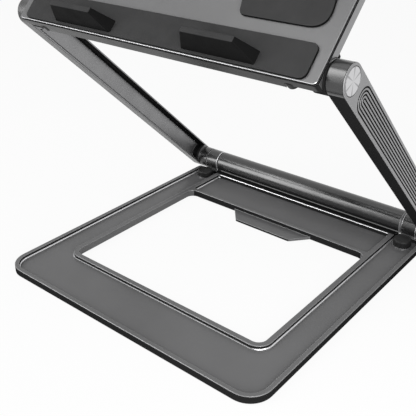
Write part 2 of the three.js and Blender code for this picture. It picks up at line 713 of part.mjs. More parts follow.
function buildPlatform() {
  add(platform, 'platform_plate', plateBody(), 'metal');
  add(platform, 'frame_front', frontBarBody(), 'metal');
  add(platform, 'frame_rear', rearBarBody(), 'metal');
  add(platform, 'front_pad', frontPadBody(), 'pad');
  add(platform, 'back_pad', backPadBody(), 'pad');
  for (const [side, label] of sides) {
    add(platform, `frame_side_${label}`, mirrored(sideBarBody(), side), 'metal');
    add(platform, `frame_rib_${label}`, mirrored(ribBody(), side), 'metal');
    add(platform, `frame_block_${label}`, mirrored(cornerBlockBody(), side), 'metal');
    add(platform, `rear_pad_${label}`, mirrored(rearPadBody(), side), 'pad');
    add(platform, `front_stop_${label}`, stopBody(), 'rubber', side * stopCentre, 0, 0);
    add(platform, `platform_lug_${label}`, mirrored(lugBody(), side), 'metal');
    add(platform, `pivot_pin_${label}`, mirrored(bolt(boltSeatX, shaftRadius, lugInnerX + fitGap), side),
      'steel');
    add(platform, `pivot_washer_${label}`, mirrored(ring(shaftBore, washerRadius,
      lugOuterX + (lugWasherGap - washerThickness) / 2, lugOuterX + (lugWasherGap + washerThickness) / 2,
      'x', 0, smallSteps), side), 'steel');
    add(platform, `platform_bumper_${label}`, rod(plateBumperRadius, frameFloor - plateBumperHeight,
      frameFloor + plateBumperNest, 'z', edgeBevel), 'rubber',
      side * plateBumperX, plateBumperY, 0);
    lugScrewSpots(side).forEach(([x, y], i) => {
      add(platform, `lug_screw_${label}_${i + 1}`, lugScrew(), 'steel', x, y, 0);
    });
  }
}

buildBase();
buildArms();
buildPlatform();

export default stand;
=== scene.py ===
import json
import math

import bmesh
import bpy
from mathutils import Matrix, Vector


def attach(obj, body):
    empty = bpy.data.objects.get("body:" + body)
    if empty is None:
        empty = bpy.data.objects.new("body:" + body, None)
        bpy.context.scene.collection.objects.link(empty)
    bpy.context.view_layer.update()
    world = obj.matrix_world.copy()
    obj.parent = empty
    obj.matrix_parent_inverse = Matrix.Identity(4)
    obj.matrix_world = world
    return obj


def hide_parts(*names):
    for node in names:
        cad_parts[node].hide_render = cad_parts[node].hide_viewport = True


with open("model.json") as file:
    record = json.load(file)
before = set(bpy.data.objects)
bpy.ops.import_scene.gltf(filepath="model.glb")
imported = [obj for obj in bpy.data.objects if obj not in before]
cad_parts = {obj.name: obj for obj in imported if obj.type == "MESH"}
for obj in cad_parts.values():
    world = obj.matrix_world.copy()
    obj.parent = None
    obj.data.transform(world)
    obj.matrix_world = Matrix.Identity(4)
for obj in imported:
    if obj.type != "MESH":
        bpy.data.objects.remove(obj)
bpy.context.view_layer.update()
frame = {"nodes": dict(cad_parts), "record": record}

nodes = frame["nodes"]
SLOT_OF = {part["node"]: part["material_slot"] for part in frame["record"]["subparts"]}

MM = 0.001
SIDES = ((-1, "left"), (1, "right"))

# Places of the three bodies in the row frame, in millimetres and degrees
BASE_FRONT_Y = -148.525
AXIS_Y = 285.6
AXIS_Z = 15.85
ARM_RAISE = 43.2
ARM_LENGTH = 298.3
PLATFORM_TILT = 46.3


def tilted(degrees):
    return Matrix.Rotation(math.radians(degrees), 4, "X")


BASE = Matrix.Translation((0, BASE_FRONT_Y, 0))
ARMS = Matrix.Translation((0, BASE_FRONT_Y + AXIS_Y, AXIS_Z)) @ tilted(-ARM_RAISE)
PLATFORM = ARMS @ Matrix.Translation((0, -ARM_LENGTH, 0)) @ tilted(ARM_RAISE + PLATFORM_TILT)

# Fits and steps. These and all sizes below are in millimetres, as in the solids.
GAP = 0.3  # between fitted pieces
OVER = 1  # how far a cutter runs past the solid
ROOT = 0.2  # how far a joined form reaches into the one that carries it
NEAR = 0.1  # places closer than this count as the same
SAME_POINT = 1e-4
WELD = 1e-3
ARC = 12  # steps in a rounded corner
HALF_TURN = 36  # steps in half a turn
SHARP_DEGREES = 24  # edges sharper than this are rounded or kept sharp
FLAT_DEGREES = 0.4  # faces that differ by less become one

# Base tray
HALF_BASE = 140
BASE_RADIUS = 20
BASE_BACK_RADIUS = 4
FLOOR_UNDER = 1
TRAY_FLOOR = 4.3
RIM_TOP = 7.9
TRAY_CUT_TOP = 9
TRAY_DEPTH = 275.9
OUTER_RIM = 4
INNER_RIM = 5
HALF_WINDOW = 106
WINDOW_FRONT = 53.6
WINDOW_BACK = 220.6
WINDOW_RADIUS = 8
CHANNEL_BACK = 274.1
PENCILS_FRONT = WINDOW_BACK + 4
PENCILS_BACK = WINDOW_BACK + 48.5
PENCILS_RADIUS = 2.5
TAB_HALF_ROOT = 48
TAB_HALF_TIP = 32
TAB_REACH = 17
TAB_ROOT = 2
TAB_THICK = 2.5
TAB_ROOT_RADIUS = 0.5
TAB_TIP_RADIUS = 4
TONGUE_REACH = 19
TONGUE_THICK = 1.5

# Dark ledge on the rear rim, under the tube, in painted shade that stands for the tube's shadow
HALF_LEDGE = 113
LEDGE_FRONT = 270.4
LEDGE_TOP = 8.9
LEDGE_ROOT = 0.4

# Rear bumpers and their rings
REAR_BUMPER_X = 122.5
REAR_BUMPER_Y = 264.0
RING_BORE = 2.5
RING_RADIUS = 9.8
RING_TOP = 5.1
RING_EDGE = 0.2
REAR_BUMPER_RADIUS = 8.7
REAR_BUMPER_TOP = 11.3
REAR_BUMPER_DISH = 6
REAR_BUMPER_EDGE = 0.35
DISH_DEEP = 0.3
SHOULDER = 1
FOOT_DRAFT = 0.2
FOOT_HEIGHT = 0.5

# Hinge: knuckles on the base, tube and collars on the arms
BARREL = 11.45
KNUCKLE_IN = 114.56
KNUCKLE_OUT = 129.76
KNUCKLE_BORE = 7.0
KNUCKLE_BACK = 9.16
KNUCKLE_EDGE = 0.5
TUBE_HALF = 113.76
TUBE_BORE = 5.95
TUBE_CHAMFER = 1
TUBE_STEPS = 120
TUBE_EDGE = 0.25
COLLAR_IN = 130.56
COLLAR_BAND = 0.5  # the collar's lip, whose bevel keeps its painted highlight whichever way it faces

# Arms
ARM_IN = 140.56
ARM_OUT = 152.66
HUB = 15.5  # the pocket stays this far from each hinge axis
POCKET_HALF = 8.85
POCKET_DEEP = 7.6
POCKET_CHAMFER = 1.6
POCKET_CHAMFER_DEEP = 1.4
PIN_BORE = 4.2
BOLT_SEAT_RADIUS = 6.9
BOLT_SEAT_IN = 148.26
DISC_SEAT_RADIUS = 9.35
DISC_SEAT_IN = 150.96
DISC_RADIUS = 9.05
DISC_IN = 151.26
DISC_OUT = 152.62
DISC_MIDDLE = 152
GROOVES = 4
GROOVE = 1.15
GROOVE_DEEP = 0.8
GROOVE_PITCH = 2.42
GROOVE_OUTER = 8.5
GROOVE_END = 24
ARM_OUTER_EDGE = 0.8
ARM_INNER_EDGE = 0.35
GROOVE_EDGE = 0.22
POCKET_MOUTH_EDGE = 0.15
POCKET_FILLET = 1.6
DISC_EDGE = 0.25

# Platform
PIVOT_BACK = 13.5
PLATE_TOP = 14.2
PLATE_THICK = 2.2
HALF_PLATE = 138.8
PLATE_DEPTH = 294
PLATE_RADIUS = 3
PLATE_BACK_RADIUS = 12
PLATE_EDGE = 0.38
REAR_EDGE_MORE = 0.47
HALF_VENT = 65
VENT_FRONT = 116
VENT_BACK = 226
VENT_RADIUS = 22
VENT_CUT_LOW = 10
VENT_CUT_HIGH = 16
FRAME_LOW = 4.2
FRAME_HIGH = 11.7
FRAME_WALL = 4
FRAME_LIP = 0.8
FRAME_EDGE = 0.45
FRONT_BAND = 0.5  # edges this close to the front are rounded
OUTER_BAND = 0.6  # and so are edges this close to the sides and the rear
REAR_BAR = 14
BAR_DROP = 3.6
BAR_KEEP_FRONT = -14
BAR_KEEP_LOW = 0.2
RIB_IN = 67
RIB_OUT = 73
BLOCK_IN = 106.76
BLOCK_BACK = 32
NOTCH_GAP = 0.15
NOTCH_OUT = 141
LUG_IN = 130.06
LUG_OUT = 139.66
LUG_BORE_IN = 129
FLANGE_IN = 107.06
FLANGE_FRONT = -2.5
FLANGE_BACK = 14.5
FLANGE_LOW = 1.9
FLANGE_HIGH = 3.9
FLANGE_RADIUS = 2
PLATE_BUMPER_X = 116.5
PLATE_BUMPER_Y = -9.6
PLATE_BUMPER_RADIUS = 4.5
PLATE_BUMPER_LOW = 0.3
PLATE_BUMPER_HIGH = 6.2
NEST_RADIUS = 4.8
NEST_DEEP = 2.3
NEST_CUT_LOW = -0.8

# Silicone pads and rubber stops
PAD_THICK = 1.8
PAD_INSET = 0.8
PAD_RADIUS = 5
FRONT_PAD_HALF = 131
FRONT_PAD_DEPTH = 24.4
BACK_PAD_HALF = 95
BACK_PAD_DEPTH = 22
REAR_PAD_FRONT = 21.4
REAR_PAD_BACK = 81.4
REAR_PAD_FRONT_IN = 65
REAR_PAD_FRONT_OUT = 130.5
REAR_PAD_BACK_IN = 48
REAR_PAD_BACK_OUT = 120
REAR_PAD_INNER_RADIUS = 6
REAR_PAD_OUTER_RADIUS = 13
STOP_X = 64
STOP_FRONT = 2.6
STOP_HEIGHT = 20.5
STOP_HALF_FOOT = 31
STOP_HALF_TOP = 21
STOP_FOOT_DEPTH = 10.5
STOP_LEAN = 3.4
STOP_TOP_DEPTH = 4

# Rounded edges of small pieces, and the share of a normal that makes a face a top
SMALL_EDGE = 0.3
PAD_EDGE = 0.6
STOP_EDGE = 0.9
PLATE_BUMPER_EDGE = 0.8
PAD_TOP_SHARE = 0.8
STOP_TOP_SHARE = 0.6


# Outlines: lists of points in a plane, in millimetres
def arc(cx, cy, r, a0, a1, steps=ARC):
    """Points on a circle, from angle a0 to angle a1 in degrees."""
    angles = [math.radians(a0 + (a1 - a0) * i / steps) for i in range(steps + 1)]
    return [(cx + r * math.cos(a), cy + r * math.sin(a)) for a in angles]


def rounded(x0, x1, y0, y1, r_front, r_back=None):
    r_back = r_front if r_back is None else r_back
    return (
        arc(x1 - r_front, y0 + r_front, r_front, -90, 0)
        + arc(x1 - r_back, y1 - r_back, r_back, 0, 90)
        + arc(x0 + r_back, y1 - r_back, r_back, 90, 180)
        + arc(x0 + r_front, y0 + r_front, r_front, 180, 270)
    )


def rounded_corners(corners):
    """A polygon of (x, y, radius) corners, each one a smooth curve between its two sides."""
    points = []
    for i, (x, y, r) in enumerate(corners):
        at = Vector((x, y))
        before = (Vector(corners[i - 1][:2]) - at).normalized()
        after = (Vector(corners[(i + 1) % len(corners)][:2]) - at).normalized()
        run = r / math.tan(before.angle(after) / 2)
        start, end = at + before * run, at + after * run
        for k in range(ARC + 1):
            t = k / ARC
            points.append(tuple(start * (1 - t) ** 2 + at * 2 * t * (1 - t) + end * t * t))
    return points


def stadium(y0, y1, r):
    return arc(y1, 0, r, -90, 90, HALF_TURN) + arc(y0, 0, r, 90, 270, HALF_TURN)


def disc_outline(r, y=0.0):
    return stadium(y, y, r)


def channel():
    """The U-shaped channel between the outer rim and the window's rim, open to the rear."""
    outer, inner = HALF_BASE - OUTER_RIM, HALF_WINDOW + INNER_RIM
    front = WINDOW_FRONT - INNER_RIM
    r_out, r_in = BASE_RADIUS - OUTER_RIM, WINDOW_RADIUS + INNER_RIM
    return (
        arc(outer - r_out, OUTER_RIM + r_out, r_out, -90, 0)
        + [(outer, CHANNEL_BACK), (inner, CHANNEL_BACK)]
        + arc(inner - r_in, front + r_in, r_in, 0, -90)
        + arc(-inner + r_in, front + r_in, r_in, -90, -180)
        + [(-inner, CHANNEL_BACK), (-outer, CHANNEL_BACK)]
        + arc(-outer + r_out, OUTER_RIM + r_out, r_out, 180, 270)
    )


# Solids: closed meshes in a body's own frame, in millimetres
def new_object(name, bm):
    bmesh.ops.recalc_face_normals(bm, faces=bm.faces)
    mesh = bpy.data.meshes.new(name)
    bm.to_mesh(mesh)
    bm.free()
    obj = bpy.data.objects.new(name, mesh)
    bpy.context.scene.collection.objects.link(obj)
    return obj


def prism(outline, lo, hi, across=False, top=None):
    """Walls between an outline at lo and the same one, or top with as many points, at hi.

    The levels are heights, or places along X where across is set.
    """
    points = [outline[0]]
    for p in outline[1:]:
        if (Vector(p) - Vector(points[-1])).length > SAME_POINT:
            points.append(p)
    if (Vector(points[0]) - Vector(points[-1])).length < SAME_POINT:
        points.pop()
    bm = bmesh.new()
    rings = []
    for level, ends in ((lo, points), (hi, top or points)):
        rings.append([bm.verts.new((level, x, y) if across else (x, y, level)) for x, y in ends])
    count = len(points)
    for i in range(count):
        j = (i + 1) % count
        bm.faces.new((rings[0][i], rings[0][j], rings[1][j], rings[1][i]))
    bm.faces.new(rings[0][::-1])
    bm.faces.new(rings[1])
    return new_object("prism", bm)


def box(x0, x1, y0, y1, z0, z1):
    return prism([(x0, y0), (x1, y0), (x1, y1), (x0, y1)], z0, z1)


def turned(profile, centre=(0, 0, 0), axis="X", steps=2 * HALF_TURN):
    """A closed profile of (radius, position) turned round an axis through centre."""
    bm = bmesh.new()
    columns = []
    for k in range(steps):
        a = 2 * math.pi * k / steps
        column = []
        for r, h in profile:
            u, v = r * math.cos(a), r * math.sin(a)
            point = (h, u, v) if axis == "X" else (u, v, h)
            column.append(bm.verts.new([p + c for p, c in zip(point, centre)]))
        columns.append(column)
    for k in range(steps):
        a, b = columns[k], columns[(k + 1) % steps]
        for i in range(len(profile)):
            j = (i + 1) % len(profile)
            if max(profile[i][0], profile[j][0]) > SAME_POINT:
                bm.faces.new((a[i], b[i], b[j], a[j]))
    bmesh.ops.remove_doubles(bm, verts=bm.verts, dist=SAME_POINT)
    return new_object("turned", bm)


def applied(obj):
    """Replaces the mesh by what its modifiers make of it."""
    graph = bpy.context.evaluated_depsgraph_get()
    result = obj.evaluated_get(graph)
    mesh = bpy.data.meshes.new_from_object(result, preserve_all_data_layers=True, depsgraph=graph)
    old = obj.data
    obj.modifiers.clear()
    obj.data = mesh
    mesh.name = obj.name
    bpy.data.meshes.remove(old)


def combine(obj, tools, operation):
    """Cuts or joins obj with each tool in turn, and uses the tools up."""
    for tool in tools:
        m = obj.modifiers.new("combine", "BOOLEAN")
        m.solver = "EXACT"
        m.operation = operation
        m.object = tool
        bpy.context.view_layer.update()
        applied(obj)
        bpy.data.objects.remove(tool)
    return obj


def mirrored(obj, side):
    """The right-hand form, or its mirror image for the left."""
    if side < 0:
        obj.data.transform(Matrix.Diagonal((-1, 1, 1, 1)))
        obj.data.flip_normals()
    return obj


def bevelled(obj, width_of, segments=3, bright_slot=-1):
    """Bevels each edge by width_of(middle, normals, is convex) millimetres, and shades the rest smooth."""
    bm = bmesh.new()
    bm.from_mesh(obj.data)
    bmesh.ops.remove_doubles(bm, verts=bm.verts, dist=WELD)
    bmesh.ops.dissolve_limit(bm, angle_limit=math.radians(FLAT_DEGREES), verts=bm.verts, edges=bm.edges)
    layer = bm.edges.layers.float.new("bevel_weight_edge")
    widths = {}
    for edge in bm.edges:
        if len(edge.link_faces) != 2 or edge.calc_face_angle(0) < math.radians(SHARP_DEGREES):
            continue
        middle = (edge.verts[0].co + edge.verts[1].co) / 2
        width = width_of(middle, [f.normal for f in edge.link_faces], edge.is_convex)
        if width > 0:
            widths[edge] = width
        else:
            edge.smooth = False
    widest = max(widths.values(), default=0)
    for edge, width in widths.items():
        edge[layer] = width / widest
    for face in bm.faces:
        face.smooth = True
    bm.to_mesh(obj.data)
    bm.free()
    if widest:
        m = obj.modifiers.new("edges", "BEVEL")
        m.limit_method = "WEIGHT"
        m.offset_type = "OFFSET"
        m.width = widest
        m.segments = segments
        m.harden_normals = True
        m.use_clamp_overlap = False
        # The new bevel faces take bright_slot's finish, which is a painted highlight.
        m.material = bright_slot
        bpy.context.view_layer.update()
        applied(obj)


def even(width):
    return lambda middle, normals, convex: width


def above(level, width, below=0.0):
    """One width for the edges above a level, and another for those below it."""
    return lambda middle, normals, convex: width if middle.z > level else below


def placed(obj, name, body, place, *replaced, centre=None):
    """Names a finished piece, puts it where its body is, and hides the CAD nodes it stands for."""
    obj.name = name
    obj.data.name = name
    matrix = Matrix.Scale(MM, 4) @ place
    if centre is not None:
        spot = place @ Vector(centre)
        matrix = Matrix.Scale(MM, 4) @ Matrix.Translation(-spot) @ place
        obj.location = spot * MM
    obj.data.transform(matrix)
    obj.data.update()
    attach(obj, body)
    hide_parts(*replaced)


# Materials: node-built, with grain, tone and roughness that vary over the surface
BLUE_SHARE = 0.015
CLOUD_SCALE = 22
CLOUD_SHARE = 0.05
SHEEN_SCALE = 60
SHEEN_SPREAD = 0.04
GRAIN_SCALE = 4200
GRAIN_DEEP = 0.02
DUST_SCALE = 45
DUST_SHARES = (0.93, 1.08)
MATT_SCALE = 120
MATT_SPREAD = 0.05
STIPPLE_SCALE = 2600
STIPPLE_DEEP = 0.03
WEDGES = 3.0
WEDGE_PHASE = 1.41
WEDGE_EDGE = (0.02, 0.4)
WEDGE_DARK_SHARE = 0.5
RING_RADIANS_PER_METRE = 14000.0
RING_STRENGTH = 0.15
RING_DEEP = 0.01
NOISE_RANGE = (0.3, 0.7)


def material(name):
    m = bpy.data.materials.new(name)
    m.use_nodes = True
    tree = m.node_tree
    tree.nodes.clear()
    out = tree.nodes.new("ShaderNodeOutputMaterial")
    shader = tree.nodes.new("ShaderNodeBsdfPrincipled")
    tree.links.new(shader.outputs[0], out.inputs[0])
    return m, tree, shader


def noise(tree, scale, detail=2.0, stretch=(1, 1, 1), seed=0.0):
    coords = tree.nodes.new("ShaderNodeTexCoord")
    mapping = tree.nodes.new("ShaderNodeMapping")
    mapping.inputs["Scale"].default_value = stretch
    mapping.inputs["Location"].default_value = (seed, seed, seed)
    texture = tree.nodes.new("ShaderNodeTexNoise")
    texture.inputs["Scale"].default_value = scale
    texture.inputs["Detail"].default_value = detail
    tree.links.new(coords.outputs["Object"], mapping.inputs["Vector"])
    tree.links.new(mapping.outputs["Vector"], texture.inputs["Vector"])
    return texture.outputs["Fac"]


def spread(tree, value, lo, hi, at=NOISE_RANGE):
    """Maps a value from the range at to the range from lo to hi."""
    node = tree.nodes.new("ShaderNodeMapRange")
    node.inputs["From Min"].default_value, node.inputs["From Max"].default_value = at
    node.inputs["To Min"].default_value, node.inputs["To Max"].default_value = lo, hi
    tree.links.new(value, node.inputs["Value"])
    return node.outputs["Result"]


def tones(tree, value, dark, light, at=NOISE_RANGE):
    ramp = tree.nodes.new("ShaderNodeValToRGB")
    ramp.color_ramp.elements[0].position, ramp.color_ramp.elements[1].position = at
    ramp.color_ramp.elements[0].color = (*dark, 1)
    ramp.color_ramp.elements[1].color = (*light, 1)
    tree.links.new(value, ramp.inputs["Fac"])
    return ramp.outputs["Color"]


def bump(tree, shader, height, strength, depth_mm):
    node = tree.nodes.new("ShaderNodeBump")
    node.inputs["Strength"].default_value = strength
    node.inputs["Distance"].default_value = depth_mm * MM
    tree.links.new(height, node.inputs["Height"])
    tree.links.new(node.outputs["Normal"], shader.inputs["Normal"])


def grey(v):
    return (v, v, v * (1 + BLUE_SHARE))


def anodised(name, tone, rough, metallic, grain=0.25, stretch=(1, 1, 1), gloss=0.5):
    """Bead-blasted, anodised aluminium: fine grain, faint cloudiness and uneven sheen."""
    m, tree, shader = material(name)
    shader.inputs["Metallic"].default_value = metallic
    shader.inputs["Specular IOR Level"].default_value = gloss
    dark, light = grey(tone * (1 - CLOUD_SHARE)), grey(tone * (1 + CLOUD_SHARE))
    cloud = tones(tree, noise(tree, CLOUD_SCALE, detail=3.0, seed=3), dark, light)
    tree.links.new(cloud, shader.inputs["Base Color"])
    uneven = noise(tree, SHEEN_SCALE, detail=4.0, seed=7)
    sheen = spread(tree, uneven, rough - SHEEN_SPREAD, rough + SHEEN_SPREAD)
    tree.links.new(sheen, shader.inputs["Roughness"])
    bump(tree, shader, noise(tree, GRAIN_SCALE, detail=1.0, stretch=stretch), grain, GRAIN_DEEP)
    return m


def rubber(name, tone, rough, grain=0.4, gloss=0.35):
    """Matt moulded rubber: fine stipple and faint dust in the tone."""
    m, tree, shader = material(name)
    shader.inputs["Specular IOR Level"].default_value = gloss
    dark, light = [grey(tone * share) for share in DUST_SHARES]
    dust = tones(tree, noise(tree, DUST_SCALE, detail=4.0, seed=11), dark, light)
    tree.links.new(dust, shader.inputs["Base Color"])
    uneven = noise(tree, MATT_SCALE, detail=3.0, seed=5)
    matt = spread(tree, uneven, rough - MATT_SPREAD, rough + MATT_SPREAD)
    tree.links.new(matt, shader.inputs["Roughness"])
    bump(tree, shader, noise(tree, STIPPLE_SCALE), grain, STIPPLE_DEEP)
    return m


def spun(name, tone, rough):
    """Spun bright metal: fine rings round the middle as bumps, and wedges of painted highlight in the
    colour for the sheen that the rings give.
    """
    m, tree, shader = material(name)
    shader.inputs["Metallic"].default_value = 1.0
    shader.inputs["Roughness"].default_value = rough
    coords = tree.nodes.new("ShaderNodeTexCoord")
    parts = tree.nodes.new("ShaderNodeSeparateXYZ")
    tree.links.new(coords.outputs["Object"], parts.inputs[0])

    def maths(operation, a, b=None):
        node = tree.nodes.new("ShaderNodeMath")
        node.operation = operation
        for socket, value in zip(node.inputs, (a, b)):
            if value is None:
                continue
            if isinstance(value, float):
                socket.default_value = value
            else:
                tree.links.new(value, socket)
        return node.outputs[0]

    y, z = parts.outputs["Y"], parts.outputs["Z"]
    turns = maths("MULTIPLY", maths("ARCTAN2", z, y), WEDGES)
    wedges = maths("ABSOLUTE", maths("SINE", maths("SUBTRACT", turns, WEDGE_PHASE)))
    # Painted highlight: light and dark wedges in the colour stand for the sheen of the rings.
    sheen = tones(tree, wedges, grey(tone * WEDGE_DARK_SHARE), grey(tone), WEDGE_EDGE)
    tree.links.new(sheen, shader.inputs["Base Color"])
    out = maths("SQRT", maths("ADD", maths("POWER", y, 2.0), maths("POWER", z, 2.0)))
    rings = maths("SINE", maths("MULTIPLY", out, RING_RADIANS_PER_METRE))
    bump(tree, shader, rings, RING_STRENGTH, RING_DEEP)
    return m


FACE = anodised("anodised_face", tone=0.1, rough=0.34, metallic=0.0, gloss=0.28)
# A lighter copy of the anodised aluminium for faces turned to the side: painted light.
LIT_SIDE = anodised("anodised_lit_side", tone=0.28, rough=0.36, metallic=0.9)
# A slightly darker copy for the plate's top, which takes the key light full on: painted shade.
SHADED_TOP = anodised("anodised_plate_shaded_top", tone=0.095, rough=0.34, metallic=0.0, gloss=0.28)
# A near-black copy for walls and edges that face away from the light: painted shade.
SHADED_WALL = anodised("anodised_wall_shade", tone=0.014, rough=0.4, metallic=0.0, gloss=0.0)
# A black copy for grooves, the pocket's walls, the ledge and the gaps: painted shade.
SHADE = anodised("anodised_recess_painted_shade", tone=0.006, rough=0.5, metallic=0.0, gloss=0.05)
# A lighter copy for bevels that catch the light: painted highlight.
EDGE_HIGHLIGHT = anodised("edge_highlight", tone=0.17, rough=0.34, metallic=0.2, grain=0.1, gloss=0.4)
# A near-black copy for the platform frame's front face, which faces down and away from the light: painted
# shade.
SHADED_BAR = anodised("anodised_bar_shade", tone=0.012, rough=0.3, metallic=0.0, gloss=0.15)
# A bright metallic copy for fillets and edges that mirror the light: painted highlight and reflection.
FILLET_HIGHLIGHT = anodised("fillet_highlight", tone=0.7, rough=0.38, metallic=0.9, grain=0.1)
TUBE = anodised(
    "turned_tube", tone=0.012, rough=0.24, metallic=0.0, grain=0.1, stretch=(1, 0.05, 0.05), gloss=0.75
)
STEEL = anodised("plain_steel", tone=0.42, rough=0.3, metallic=1.0, grain=0.1)
DISC = spun("spun_disc", tone=0.62, rough=0.3)
PAD = rubber("silicone_pad", tone=0.021, rough=0.8, gloss=0.2)
STOP = rubber("stop_rubber", tone=0.0035, rough=0.65, gloss=0.05)
BUMPER = rubber("bumper_rubber", tone=0.006, rough=0.5, gloss=0.3)
PLASTIC = rubber("black_acetal", tone=0.02, rough=0.45, grain=0.1)
OF_SLOT = {
    "grey_aluminium": FACE,
    "tube_metal": TUBE,
    "steel": STEEL,
    "spun_disc": DISC,
    "grey_silicone": PAD,
    "stop_rubber": STOP,
    "black_rubber": BUMPER,
    "black_plastic": PLASTIC,
}

# Finishes of one aluminium piece, most of them copies with painted light or shade: their place in this row
# is a polygon's material index
METAL = (FACE, EDGE_HIGHLIGHT, SHADED_WALL, FILLET_HIGHLIGHT, LIT_SIDE, SHADE, TUBE, SHADED_TOP, SHADED_BAR)
IS_FACE, IS_EDGE_HIGHLIGHT, IS_SHADED_WALL, IS_FILLET_HIGHLIGHT, IS_LIT_SIDE, IS_SHADE, IS_TUBE, IS_SHADED_TOP, IS_SHADED_BAR = range(len(METAL))


# How much of a face's unit normal points one way
SLIGHT_SHARE = 0.3
HALF_SHARE = 0.5
ARM_FACE_SHARE = 0.6
UPPER_FLOOR_SHARE = 0.85
MOST_SHARE = 0.9
FLAT_SHARE = 0.99


def coated(obj, *materials):
    for m in materials:
        obj.data.materials.append(m)
    return obj


def paint(obj, picks, finish):
    """Gives the plain faces that picks(polygon) names another finish, mostly a painted light or shade."""
    for polygon in obj.data.polygons:
        if polygon.material_index == IS_FACE and picks(polygon):
            polygon.material_index = finish


def is_wall(polygon):
    return abs(polygon.normal.z) < HALF_SHARE


def is_side(polygon):
    return abs(polygon.normal.x) >= HALF_SHARE


# Base tray
RIM_EDGE = 0.55
TRAY_EDGE = 0.35
FRONT_LOWER_EDGE = 0.5
FLOOR_FILLET = 0.6
SIDE_FILLET_MORE = 0.7
FILLET_REACH = 1.4
PENCILS_REAR_FROM = 261


def tray_edge(middle, normals, convex):
    behind = middle.y > LEDGE_FRONT - NEAR and abs(middle.x) < HALF_LEDGE + NEAR
    if behind and middle.z > RIM_TOP - NEAR:
        return 0.0
    if middle.z < FLOOR_UNDER + NEAR:
        return TRAY_EDGE if middle.y > 1 else FRONT_LOWER_EDGE
    if convex:
        return RIM_EDGE if middle.z > RIM_TOP - NEAR else TRAY_EDGE
    if abs(middle.z - TRAY_FLOOR) > 2 * NEAR:
        return SMALL_EDGE
    return FLOOR_FILLET + SIDE_FILLET_MORE * max(abs(n.x) for n in normals)


def tray_finish(polygon):
    """The finish of one face of the tray, which follows the tones of the photograph with painted shade on
    walls, ledge and rear bevels, and painted highlights on fillets and other bevels.
    """
    x, y, z = abs(polygon.center.x), polygon.center.y, polygon.center.z
    sideways = abs(polygon.normal.x)
    in_window = x < HALF_WINDOW + NEAR and WINDOW_FRONT - NEAR < y < WINDOW_BACK + NEAR
    # The ledge above the rim gets painted shade, standing for the tube's shadow.
    if z > RIM_TOP + NEAR / 2:
        return IS_SHADE
    # Walls get painted shade, except the window's side walls and the rear wall.
    if polygon.material_index == IS_FACE:
        light_wall = in_window and sideways > HALF_SHARE or y > TRAY_DEPTH - NEAR
        return IS_SHADED_WALL if is_wall(polygon) and not light_wall else IS_FACE
    # Bevels: painted shade along the rear edge and at the rear wall's foot in the pencil tray; painted
    # highlights at the ledge's front, the floor's fillets and elsewhere.
    if y > TRAY_DEPTH - OVER:
        return IS_SHADED_WALL
    if LEDGE_FRONT - FILLET_REACH < y < LEDGE_FRONT and z > RIM_TOP - RIM_EDGE - NEAR / 2:
        return IS_FILLET_HIGHLIGHT if x < HALF_WINDOW else IS_EDGE_HIGHLIGHT
    if abs(z - TRAY_FLOOR) < FILLET_REACH and y > OUTER_RIM / 2 and not in_window:
        if sideways > SLIGHT_SHARE:
            return IS_FILLET_HIGHLIGHT
        if y > PENCILS_REAR_FROM:
            return IS_SHADED_WALL
    return IS_EDGE_HIGHLIGHT


def tray():
    outline = rounded(-HALF_BASE, HALF_BASE, 0, TRAY_DEPTH, BASE_RADIUS, BASE_BACK_RADIUS)
    body = coated(prism(outline, FLOOR_UNDER, RIM_TOP), *METAL)
    window = rounded(-HALF_WINDOW, HALF_WINDOW, WINDOW_FRONT, WINDOW_BACK, WINDOW_RADIUS)
    combine(body, [prism(window, 0, TRAY_CUT_TOP)], "DIFFERENCE")
    tab_corners = (
        (-TAB_HALF_ROOT, WINDOW_BACK + TAB_ROOT, TAB_ROOT_RADIUS),
        (-TAB_HALF_TIP, WINDOW_BACK - TAB_REACH, TAB_TIP_RADIUS),
        (TAB_HALF_TIP, WINDOW_BACK - TAB_REACH, TAB_TIP_RADIUS),
        (TAB_HALF_ROOT, WINDOW_BACK + TAB_ROOT, TAB_ROOT_RADIUS),
    )
    tab = prism(rounded_corners(tab_corners), FLOOR_UNDER, FLOOR_UNDER + TAB_THICK)
    shadow_ledge = box(-HALF_LEDGE, HALF_LEDGE, LEDGE_FRONT, TRAY_DEPTH, RIM_TOP - LEDGE_ROOT, LEDGE_TOP)
    combine(body, [tab, shadow_ledge], "UNION")
    pencils = rounded(-HALF_WINDOW, HALF_WINDOW, PENCILS_FRONT, PENCILS_BACK, PENCILS_RADIUS)
    pockets = [prism(channel(), TRAY_FLOOR, TRAY_CUT_TOP), prism(pencils, TRAY_FLOOR, TRAY_CUT_TOP)]
    for side, _ in SIDES:
        x0, x1 = sorted((side * (KNUCKLE_IN - GAP), side * (KNUCKLE_OUT + GAP)))
        seat_front, seat_top = TRAY_DEPTH - TONGUE_REACH - GAP, FLOOR_UNDER + TONGUE_THICK + GAP
        pockets.append(box(x0, x1, seat_front, TRAY_DEPTH + OVER, 0, seat_top))
    combine(body, pockets, "DIFFERENCE")
    bevelled(body, tray_edge, bright_slot=IS_EDGE_HIGHLIGHT)
    for polygon in body.data.polygons:
        polygon.material_index = tray_finish(polygon)
    placed(body, "tray", "base", BASE, "base_tray")


